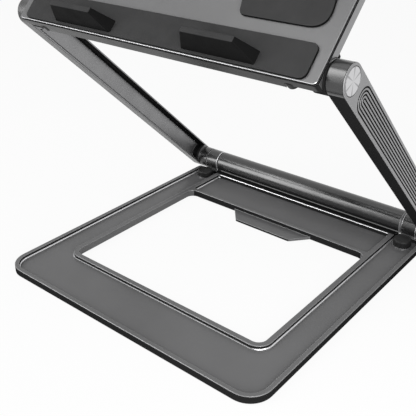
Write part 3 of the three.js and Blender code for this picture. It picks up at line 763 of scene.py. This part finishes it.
# Rear bumpers on their rings, at the back of the side channels
def rear_bumpers():
    ring_profile = [
        (RING_BORE, TRAY_FLOOR), (RING_RADIUS, TRAY_FLOOR), (RING_RADIUS, RING_TOP), (RING_BORE, RING_TOP),
    ]
    radius, top, dish_radius = REAR_BUMPER_RADIUS, REAR_BUMPER_TOP, REAR_BUMPER_DISH
    dish_floor, shoulder = top - DISH_DEEP, radius - SHOULDER
    profile = [
        (0, RING_TOP), (radius - FOOT_DRAFT, RING_TOP), (radius, RING_TOP + FOOT_HEIGHT),
        (radius, top - SHOULDER), (shoulder, top), (dish_radius + DISH_DEEP, top),
        (dish_radius, dish_floor), (0, dish_floor),
    ]
    for side, label in SIDES:
        centre = (side * REAR_BUMPER_X, REAR_BUMPER_Y, 0)
        ring = coated(turned(ring_profile, centre, "Z"), STEEL, EDGE_HIGHLIGHT)
        # The ring's bevels get the edge finish, a painted highlight.
        bevelled(ring, even(RING_EDGE), bright_slot=1)
        placed(ring, "bumper_ring_" + label, "base", BASE, "rear_bumper_ring_" + label)
        bumper = coated(turned(profile, centre, "Z"), BUMPER)
        bevelled(bumper, even(REAR_BUMPER_EDGE))
        placed(bumper, "bumper_" + label, "base", BASE, "rear_bumper_" + label)


# Knuckles that carry the hinge
def knuckles():
    for side, label in SIDES:
        body = coated(prism(disc_outline(BARREL, AXIS_Y), KNUCKLE_IN, KNUCKLE_OUT, across=True), *METAL)
        body.data.transform(Matrix.Translation((0, 0, AXIS_Z)))
        leg = box(KNUCKLE_IN, KNUCKLE_OUT, TRAY_DEPTH + GAP, AXIS_Y + KNUCKLE_BACK, FLOOR_UNDER, AXIS_Z)
        tongue = box(
            KNUCKLE_IN, KNUCKLE_OUT, TRAY_DEPTH - TONGUE_REACH, TRAY_DEPTH + 2 * OVER,
            FLOOR_UNDER, FLOOR_UNDER + TONGUE_THICK,
        )
        combine(body, [leg, tongue], "UNION")
        bore = prism(disc_outline(KNUCKLE_BORE, AXIS_Y), KNUCKLE_IN - OVER, KNUCKLE_OUT + OVER, across=True)
        bore.data.transform(Matrix.Translation((0, 0, AXIS_Z)))
        combine(body, [bore], "DIFFERENCE")
        mirrored(body, side)
        # Convex edges get the fillet finish, a painted highlight.
        bevelled(body, lambda middle, normals, convex: KNUCKLE_EDGE * convex, bright_slot=IS_FILLET_HIGHLIGHT)
        paint(body, lambda polygon: polygon.center.z > RIM_TOP and not is_side(polygon), IS_TUBE)
        placed(body, "knuckle_" + label, "base", BASE, "hinge_knuckle_" + label)


# Hinge tube between the knuckles
def tube():
    profile = [
        (TUBE_BORE, -TUBE_HALF), (BARREL - TUBE_CHAMFER, -TUBE_HALF), (BARREL, TUBE_CHAMFER - TUBE_HALF),
        (BARREL, TUBE_HALF - TUBE_CHAMFER), (BARREL - TUBE_CHAMFER, TUBE_HALF), (TUBE_BORE, TUBE_HALF),
    ]
    body = coated(turned(profile, steps=TUBE_STEPS), TUBE, EDGE_HIGHLIGHT)
    bevelled(body, even(TUBE_EDGE), bright_slot=1)
    # The end chamfers and their bevels get the edge finish, a painted highlight.
    for polygon in body.data.polygons:
        if abs(polygon.center.x) > TUBE_HALF - TUBE_CHAMFER - NEAR / 10:
            polygon.material_index = 1
    placed(body, "tube", "arms", ARMS, "hinge_tube")


# Arms: a grooved outer face, a pocket in the inner face, and a spun disc at each end
def pocket_outline(grow):
    half, hub = POCKET_HALF + grow, HUB - grow
    reach = math.degrees(math.asin(half / hub))
    return arc(0, 0, hub, 180 + reach, 180 - reach) + arc(-ARM_LENGTH, 0, hub, reach, -reach)


def arm_edge(middle, normals, convex):
    x, z = abs(middle.x), middle.z
    end_y = min(max(middle.y, -ARM_LENGTH), 0)
    if abs(math.hypot(middle.y - end_y, z) - BARREL) < NEAR:
        return ARM_OUTER_EDGE if x > ARM_OUT - NEAR else ARM_INNER_EDGE * convex
    if x > ARM_OUT - NEAR / 2:
        return GROOVE_EDGE * convex
    if x < ARM_IN + NEAR / 2:
        return POCKET_MOUTH_EDGE * convex
    if abs(x - ARM_IN - POCKET_CHAMFER_DEEP) < NEAR:
        return SMALL_EDGE
    return POCKET_FILLET if abs(x - ARM_IN - POCKET_DEEP) < NEAR else 0.0


def arm_finish(polygon, side):
    """The finish of one face of an arm, which follows the tones of the photograph, with painted light,
    shade and highlights by the way a face is turned.
    """
    x, along, z = abs(polygon.center.x), polygon.center.y, polygon.center.z
    facing, lengthways = abs(polygon.normal.x), abs(polygon.normal.y)
    between_hubs = -ARM_LENGTH + HUB / 2 < along < -HUB / 2
    deep = ARM_IN + NEAR / 5 < x < ARM_IN + POCKET_DEEP + NEAR
    # In the pocket: painted light on the floor, painted shade on the upper wall, the ends and the mouth's
    # chamfer, and a painted highlight on the lower wall.
    if deep and between_hubs and abs(z) < POCKET_HALF + POCKET_CHAMFER + GAP:
        upper = z > 0
        if facing > (UPPER_FLOOR_SHARE if upper else HALF_SHARE) and lengthways < SLIGHT_SHARE:
            return IS_LIT_SIDE
        dark = upper or x < ARM_IN + POCKET_CHAMFER_DEEP - NEAR or lengthways > HALF_SHARE
        return IS_SHADE if dark else IS_EDGE_HIGHLIGHT
    # Bevels facing the side, and the collar's lip, keep a painted highlight; the others get painted shade.
    if polygon.material_index == IS_EDGE_HIGHLIGHT:
        return IS_EDGE_HIGHLIGHT if facing > HALF_SHARE or x < COLLAR_IN + COLLAR_BAND else IS_SHADE
    # Painted shade in the grooves.
    if ARM_OUT - GROOVE_DEEP - NEAR < x < ARM_OUT - NEAR / 2:
        return IS_SHADE
    # Painted light on the faces turned to the side.
    if facing > ARM_FACE_SHARE:
        return IS_LIT_SIDE
    # The straight edges: painted shade on the right arm's, the plain face tone on the left arm's.
    if x > ARM_IN and abs(polygon.normal.z) > FLAT_SHARE and -ARM_LENGTH < along < 0:
        return IS_SHADED_WALL if side > 0 else IS_FACE
    return IS_TUBE


def arm(side, label):
    body = coated(prism(stadium(-ARM_LENGTH, 0, BARREL), ARM_IN, ARM_OUT, across=True), *METAL)
    combine(body, [prism(disc_outline(BARREL), COLLAR_IN, ARM_IN + OVER, across=True)], "UNION")
    mouth = pocket_outline(POCKET_CHAMFER)
    tools = [
        prism(pocket_outline(0), ARM_IN - OVER, ARM_IN + POCKET_DEEP, across=True),
        prism(mouth, ARM_IN - ROOT, ARM_IN + POCKET_CHAMFER_DEEP, across=True, top=pocket_outline(0)),
    ]
    for y in (0, -ARM_LENGTH):
        for r, x in (
            (PIN_BORE, COLLAR_IN - OVER),
            (BOLT_SEAT_RADIUS, BOLT_SEAT_IN),
            (DISC_SEAT_RADIUS, DISC_SEAT_IN),
        ):
            tools.append(prism(disc_outline(r, y), x, ARM_OUT + OVER, across=True))
    ends = (GROOVE_END - ARM_LENGTH, -GROOVE_END)
    for i in range(GROOVES):
        r = GROOVE_OUTER - GROOVE_PITCH * i
        groove = prism(stadium(*ends, r + GROOVE / 2), ARM_OUT - GROOVE_DEEP, ARM_OUT + OVER, across=True)
        island = prism(stadium(*ends, r - GROOVE / 2), ARM_OUT - 2 * OVER, ARM_OUT + 2 * OVER, across=True)
        tools.append(combine(groove, [island], "DIFFERENCE"))
    combine(body, tools, "DIFFERENCE")
    mirrored(body, side)
    bevelled(body, arm_edge, segments=4, bright_slot=IS_EDGE_HIGHLIGHT)
    for polygon in body.data.polygons:
        polygon.material_index = arm_finish(polygon, side)
    placed(body, "arm_body_" + label, "arms", ARMS, "arm_" + label)

    disc_profile = [(0, DISC_IN), (DISC_RADIUS, DISC_IN), (DISC_RADIUS, DISC_OUT), (0, DISC_OUT)]
    for y, where in ((0, "lower"), (-ARM_LENGTH, "upper")):
        disc = coated(turned(disc_profile, (0, y, 0)), DISC, EDGE_HIGHLIGHT)
        mirrored(disc, side)
        # The disc's rim bevels get the edge finish, a painted highlight.
        bevelled(disc, even(DISC_EDGE), bright_slot=1)
        middle = (side * DISC_MIDDLE, y, 0)
        placed(disc, f"{where}_disc_{label}", "arms", ARMS, f"{where}_cap_{label}", centre=middle)


# Platform, in the frame of its pivot: +Y runs up the plate
def platform_outline(inset):
    half = HALF_PLATE - inset
    front, back = inset - PIVOT_BACK, PLATE_DEPTH - PIVOT_BACK - inset
    return rounded(-half, half, front, back, PLATE_RADIUS, PLATE_BACK_RADIUS)


def plate_edge(middle, normals, convex):
    to_rear = max(0, *(n.y for n in normals))
    return PLATE_EDGE + REAR_EDGE_MORE * to_rear if middle.z > PLATE_TOP - NEAR else SMALL_EDGE


def plate():
    body = coated(prism(platform_outline(0), PLATE_TOP - PLATE_THICK, PLATE_TOP), *METAL)
    vent = rounded(-HALF_VENT, HALF_VENT, VENT_FRONT - PIVOT_BACK, VENT_BACK - PIVOT_BACK, VENT_RADIUS)
    combine(body, [prism(vent, VENT_CUT_LOW, VENT_CUT_HIGH)], "DIFFERENCE")
    bevelled(body, plate_edge, bright_slot=IS_EDGE_HIGHLIGHT)
    # Painted highlights on the bevels, brightest along the front upper edge; painted shade on the walls; a
    # darker painted-shade copy on the top.
    for polygon in body.data.polygons:
        upper_front = polygon.normal.y < -SLIGHT_SHARE and polygon.center.z > PLATE_TOP - PLATE_THICK / 2
        if polygon.material_index == IS_EDGE_HIGHLIGHT and upper_front:
            polygon.material_index = IS_FILLET_HIGHLIGHT
    paint(body, is_wall, IS_SHADED_WALL)
    paint(body, lambda polygon: polygon.normal.z > MOST_SHARE, IS_SHADED_TOP)
    placed(body, "plate", "platform", PLATFORM, "platform_plate")


def frame_edge(middle, normals, convex):
    front, rear = FRONT_BAND - PIVOT_BACK, PLATE_DEPTH - PIVOT_BACK - OUTER_BAND
    outside = middle.y < front or middle.y > rear or abs(middle.x) > HALF_PLATE - OUTER_BAND
    return FRAME_EDGE if outside and convex and middle.z < FRAME_HIGH - OVER else 0.0


def in_plate_gap(polygon):
    """The lip under the plate, and the rounded edges of the front bar, where shade is painted."""
    above_ledge = polygon.center.z > FRAME_HIGH - FRAME_LIP - NEAR / 2
    return above_ledge or -MOST_SHARE < polygon.normal.y < -SLIGHT_SHARE


def frame_under_plate():
    body = coated(prism(platform_outline(0), FRAME_LOW, FRAME_HIGH - FRAME_LIP), *METAL)
    lip = prism(platform_outline(FRAME_LIP), FRAME_HIGH - 2 * FRAME_LIP, FRAME_HIGH)
    combine(body, [lip], "UNION")
    half = HALF_PLATE - FRAME_WALL
    front, back = FRAME_WALL - PIVOT_BACK, PLATE_DEPTH - PIVOT_BACK - REAR_BAR
    combine(body, [box(-half, half, front, back, FRAME_LOW - OVER, FRAME_HIGH + OVER)], "DIFFERENCE")
    drop = prism(platform_outline(0), FRAME_LOW - BAR_DROP, FRAME_HIGH - OVER)
    keep = box(-PLATE_BUMPER_X, PLATE_BUMPER_X, BAR_KEEP_FRONT, front, BAR_KEEP_LOW, FRAME_HIGH)
    adds = [combine(drop, [keep], "INTERSECT")]
    cuts = []
    nest_low, nest_high = NEST_CUT_LOW, FRAME_LOW + NEST_DEEP
    nest_profile = [(0, nest_low), (NEST_RADIUS, nest_low), (NEST_RADIUS, nest_high), (0, nest_high)]
    for side, _ in SIDES:
        x0, x1 = sorted((side * RIB_IN, side * RIB_OUT))
        adds.append(box(x0, x1, front - ROOT, back + ROOT, FRAME_LOW, FRAME_HIGH))
        x0, x1 = sorted((side * BLOCK_IN, side * KNUCKLE_OUT))
        adds.append(box(x0, x1, front - ROOT, BLOCK_BACK - PIVOT_BACK, FRAME_LOW, FRAME_HIGH))
        notch = prism(disc_outline(BARREL + NOTCH_GAP), KNUCKLE_OUT, NOTCH_OUT, across=True)
        cuts.append(mirrored(notch, side))
        cuts.append(turned(nest_profile, (side * PLATE_BUMPER_X, PLATE_BUMPER_Y, 0), "Z"))
    combine(body, adds, "UNION")
    combine(body, cuts, "DIFFERENCE")
    bevelled(body, frame_edge)

    # Painted shade in the gap under the plate and on the front face; painted light on the sides.
    paint(body, in_plate_gap, IS_SHADED_WALL)
    paint(body, lambda polygon: polygon.normal.y < -MOST_SHARE, IS_SHADED_BAR)
    paint(body, lambda polygon: abs(polygon.normal.x) > MOST_SHARE, IS_LIT_SIDE)
    pairs = [f"frame_{kind}_{label}" for kind in ("side", "rib", "block") for _, label in SIDES]
    placed(body, "frame", "platform", PLATFORM, "frame_front", "frame_rear", *pairs)


def lug_edge(middle, normals, convex):
    on_barrel = abs(math.hypot(middle.y, middle.z) - BARREL) < NEAR / 2
    return SMALL_EDGE if convex and on_barrel else 0.0


def lugs():
    for side, label in SIDES:
        body = coated(prism(disc_outline(BARREL), LUG_IN, LUG_OUT, across=True), *METAL)
        flange = rounded(FLANGE_IN, HALF_PLATE, FLANGE_FRONT, FLANGE_BACK, FLANGE_RADIUS)
        combine(body, [prism(flange, FLANGE_LOW, FLANGE_HIGH)], "UNION")
        bore = prism(disc_outline(PIN_BORE), LUG_BORE_IN, LUG_OUT + OVER, across=True)
        combine(body, [bore], "DIFFERENCE")
        mirrored(body, side)
        bevelled(body, lug_edge)
        # The lug's upper back gets painted light, and all the rest painted shade.
        paint(body, lambda polygon: polygon.normal.y > SLIGHT_SHARE and polygon.center.z > 0, IS_LIT_SIDE)
        paint(body, lambda polygon: True, IS_SHADED_WALL)
        placed(body, "lug_" + label, "platform", PLATFORM, "platform_lug_" + label)


# Silicone pads, rubber stops and bumpers
def pad(outline):
    return coated(prism(outline, PLATE_TOP, PLATE_TOP + PAD_THICK), PAD, STOP)


def pads():
    front, back = PAD_INSET - PIVOT_BACK, PLATE_DEPTH - PIVOT_BACK - REAR_BAR
    front_outline = rounded(-FRONT_PAD_HALF, FRONT_PAD_HALF, front, front + FRONT_PAD_DEPTH, PAD_RADIUS)
    back_outline = rounded(-BACK_PAD_HALF, BACK_PAD_HALF, back - BACK_PAD_DEPTH, back, PAD_RADIUS)
    pieces = {"front_pad": pad(front_outline), "back_pad": pad(back_outline)}
    rear_corners = (
        (REAR_PAD_FRONT_IN, REAR_PAD_FRONT, REAR_PAD_INNER_RADIUS),
        (REAR_PAD_FRONT_OUT, REAR_PAD_FRONT, REAR_PAD_OUTER_RADIUS),
        (REAR_PAD_BACK_OUT, REAR_PAD_BACK, REAR_PAD_OUTER_RADIUS),
        (REAR_PAD_BACK_IN, REAR_PAD_BACK, REAR_PAD_INNER_RADIUS),
    )
    for side, label in SIDES:
        pieces["rear_pad_" + label] = mirrored(pad(rounded_corners(rear_corners)), side)
    for node, body in pieces.items():
        bevelled(body, above(PLATE_TOP + OVER, PAD_EDGE), segments=4)
        # The pads' sides and bevels get the darker stop rubber: painted shade along their edges.
        for polygon in body.data.polygons:
            polygon.material_index = 1 if polygon.normal.z < PAD_TOP_SHARE else 0
        placed(body, "silicone_" + node, "platform", PLATFORM, node)


def stop_block():
    """A wedge-shaped block that leans back towards its top."""
    bm = bmesh.new()
    front = STOP_FRONT - PIVOT_BACK
    back = front + STOP_FOOT_DEPTH
    top_front = front + STOP_LEAN
    top_back = top_front + STOP_TOP_DEPTH
    rings = []
    for z, half, y0, y1 in (
        (PLATE_TOP, STOP_HALF_FOOT, front, back),
        (PLATE_TOP + STOP_HEIGHT, STOP_HALF_TOP, top_front, top_back),
    ):
        corners = ((-half, y0), (half, y0), (half, y1), (-half, y1))
        rings.append([bm.verts.new((x, y, z)) for x, y in corners])
    for i in range(4):
        j = (i + 1) % 4
        bm.faces.new((rings[0][i], rings[0][j], rings[1][j], rings[1][i]))
    bm.faces.new(rings[0])
    bm.faces.new(rings[1])
    return new_object("stop", bm)


def stops():
    low, high, radius = PLATE_BUMPER_LOW, PLATE_BUMPER_HIGH, PLATE_BUMPER_RADIUS
    bumper_profile = [(0, low), (radius, low), (radius, high), (0, high)]
    for side, label in SIDES:
        body = coated(stop_block(), STOP, PAD)
        bevelled(body, above(PLATE_TOP + OVER, STOP_EDGE), segments=4)
        # The stops' tops get the lighter pad rubber: painted highlight.
        for polygon in body.data.polygons:
            polygon.material_index = 1 if polygon.normal.z > STOP_TOP_SHARE else 0
        body.data.transform(Matrix.Translation((side * STOP_X, 0, 0)))
        placed(body, "stop_" + label, "platform", PLATFORM, "front_stop_" + label)
        bumper = coated(turned(bumper_profile, (side * PLATE_BUMPER_X, PLATE_BUMPER_Y, 0), "Z"), BUMPER)
        bevelled(bumper, above(PLATE_BUMPER_LOW + NEAR, SMALL_EDGE, PLATE_BUMPER_EDGE), segments=4)
        placed(bumper, "plate_bumper_" + label, "platform", PLATFORM, "platform_bumper_" + label)


tray()
rear_bumpers()
knuckles()
tube()
for arm_side, arm_label in SIDES:
    arm(arm_side, arm_label)
plate()
frame_under_plate()
lugs()
pads()
stops()

# Floor, lights and camera, in metres, watts and degrees, with the lens in millimetres
FLOOR_SIZE = 12
FLOOR_TONE = 0.6
FLOOR_ROUGH = 0.9
FLOOR_GLOSS = 0.1
FLOOR_SHOWN_SHARE = 0.93
WORLD_LIGHT = 0.25
LIGHTS_AIM = Vector((0, 0, 0.15))
# Each light: name, place, width, height and watts
LIGHTS = (
    ("key", (-0.84, -1.04, 0.875), 0.7, 1.85, 27),
    ("top", (0.1, 0.2, 1.7), 1.2, 1.2, 4),
    ("side", (0.45, -0.35, 0.27), 0.35, 0.35, 3.4),
)
EYE = (0.33008, -0.43081, 0.34221)
EYE_DOWN = 28.29
EYE_TURN = 39.40
LENS = 58.33
SENSOR = 36
NEAREST = 0.01


def shown_to_eye(tree, share):
    """share for rays that show the background, straight or mirrored, and 0 for the light it gives."""
    path = tree.nodes.new("ShaderNodeLightPath")
    either = tree.nodes.new("ShaderNodeMath")
    either.operation = "MAXIMUM"
    tree.links.new(path.outputs["Is Camera Ray"], either.inputs[0])
    tree.links.new(path.outputs["Is Glossy Ray"], either.inputs[1])
    both = tree.nodes.new("ShaderNodeMath")
    both.operation = "MAXIMUM"
    tree.links.new(either.outputs[0], both.inputs[0])
    tree.links.new(path.outputs["Is Transmission Ray"], both.inputs[1])
    scaled = tree.nodes.new("ShaderNodeMath")
    scaled.operation = "MULTIPLY"
    scaled.inputs[1].default_value = share
    tree.links.new(both.outputs[0], scaled.inputs[0])
    return scaled.outputs[0]


def floor():
    """A pale floor that looks nearly white, yet gives off only the light of its own tone."""
    m, tree, shader = material("studio_floor")
    shader.inputs["Base Color"].default_value = (FLOOR_TONE, FLOOR_TONE, FLOOR_TONE, 1)
    shader.inputs["Roughness"].default_value = FLOOR_ROUGH
    shader.inputs["Specular IOR Level"].default_value = FLOOR_GLOSS
    bpy.ops.mesh.primitive_plane_add(size=FLOOR_SIZE, location=(0, 0, 0))
    plane = bpy.context.active_object
    plane.name = "studio_floor"
    plane.data.materials.append(m)
    out = tree.nodes["Material Output"]
    glow = tree.nodes.new("ShaderNodeEmission")
    glow.inputs["Strength"].default_value = 1.0
    mix = tree.nodes.new("ShaderNodeMixShader")
    tree.links.new(shown_to_eye(tree, FLOOR_SHOWN_SHARE), mix.inputs["Fac"])
    tree.links.new(shader.outputs[0], mix.inputs[1])
    tree.links.new(glow.outputs[0], mix.inputs[2])
    tree.links.new(mix.outputs[0], out.inputs[0])


def studio_world():
    world = bpy.data.worlds.new("studio")
    bpy.context.scene.world = world
    world.use_nodes = True
    tree = world.node_tree
    background = tree.nodes["Background"]
    background.inputs["Color"].default_value = (1, 1, 1, 1)
    strength = spread(tree, shown_to_eye(tree, 1.0), WORLD_LIGHT, 1.0, (0, 1))
    tree.links.new(strength, background.inputs["Strength"])


def lights():
    for name, at, wide, high, watts in LIGHTS:
        data = bpy.data.lights.new(name, "AREA")
        data.shape = "RECTANGLE"
        data.size = wide
        data.size_y = high
        data.energy = watts
        lamp = bpy.data.objects.new(name, data)
        lamp.location = at
        aim = LIGHTS_AIM - Vector(at)
        lamp.rotation_euler = aim.to_track_quat("-Z", "Y").to_euler()
        bpy.context.scene.collection.objects.link(lamp)


def camera():
    data = bpy.data.cameras.new("camera")
    data.sensor_width = SENSOR
    data.lens = LENS
    data.clip_start = NEAREST
    eye = bpy.data.objects.new("camera", data)
    eye.location = EYE
    eye.rotation_euler = (math.radians(90 - EYE_DOWN), 0, math.radians(EYE_TURN))
    bpy.context.scene.collection.objects.link(eye)
    bpy.context.scene.camera = eye


floor()
studio_world()
lights()
camera()
bpy.context.scene.view_settings.view_transform = "Standard"

for name, node in nodes.items():
    node.data.materials.clear()
    # Washers get the black plastic in place of steel, so the gaps between the hinge parts show dark:
    # painted shade.
    node.data.materials.append(PLASTIC if "_washer_" in name else OF_SLOT[SLOT_OF[name]])
